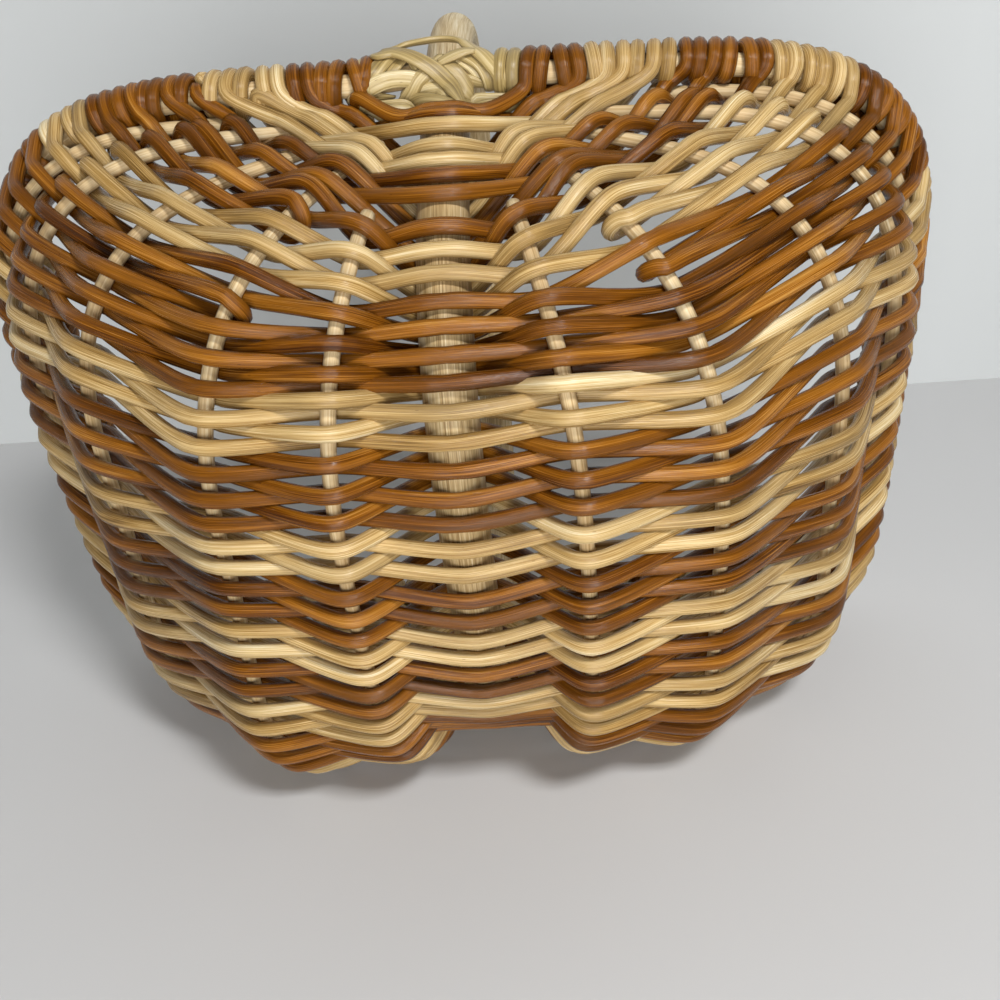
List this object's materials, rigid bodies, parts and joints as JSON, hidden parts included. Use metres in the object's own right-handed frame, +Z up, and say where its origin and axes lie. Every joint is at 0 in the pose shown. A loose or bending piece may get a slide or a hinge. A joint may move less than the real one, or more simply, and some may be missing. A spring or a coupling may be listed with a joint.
{
  "type": "buttocks basket",
  "caption": "Ribbed egg-type rattan basket with a two-lobed base, a wrapped rim, a fixed round handle hoop and banded brown and pale reed weaving.",
  "frame": {"origin": "on the ground plane, under the middle of the basket's box", "axes": "+X across the basket, +Y from the front hoop crossing to the back one, +Z up; the basket stands on its two lobes"},
  "size_m": [0.3592, 0.2942, 0.3177],
  "materials": {
    "reed_brown": "glossy",
    "reed_pale": "glossy",
    "rib_reed": "satin",
    "pole_rattan": "satin",
    "lashing_cane": "glossy"
  },
  "bodies": {
    "root": {"weave_brown_01": "reed_brown", "weave_pale_02": "reed_pale", "weave_brown_03": "reed_brown", "weave_pale_04": "reed_pale", "weave_brown_05": "reed_brown", "weave_pale_06": "reed_pale", "weave_brown_07": "reed_brown", "weave_pale_08": "reed_pale", "weave_brown_09": "reed_brown", "weave_pale_10": "reed_pale", "weave_brown_11": "reed_brown", "weave_pale_12": "reed_pale", "weave_brown_13": "reed_brown", "weave_pale_14": "reed_pale", "weave_brown_15": "reed_brown", "weave_pale_16": "reed_pale", "weave_brown_17": "reed_brown", "weave_pale_18": "reed_pale", "weave_brown_19": "reed_brown", "rib_left_1": "rib_reed", "rib_left_2": "rib_reed", "rib_left_3": "rib_reed", "rib_left_4": "rib_reed", "rib_left_5": "rib_reed", "rib_right_1": "rib_reed", "rib_right_2": "rib_reed", "rib_right_3": "rib_reed", "rib_right_4": "rib_reed", "rib_right_5": "rib_reed", "rim_hoop": "rib_reed", "handle_hoop": "pole_rattan", "lashing_front": "lashing_cane", "lashing_back": "lashing_cane"}
  },
  "joints": []
}
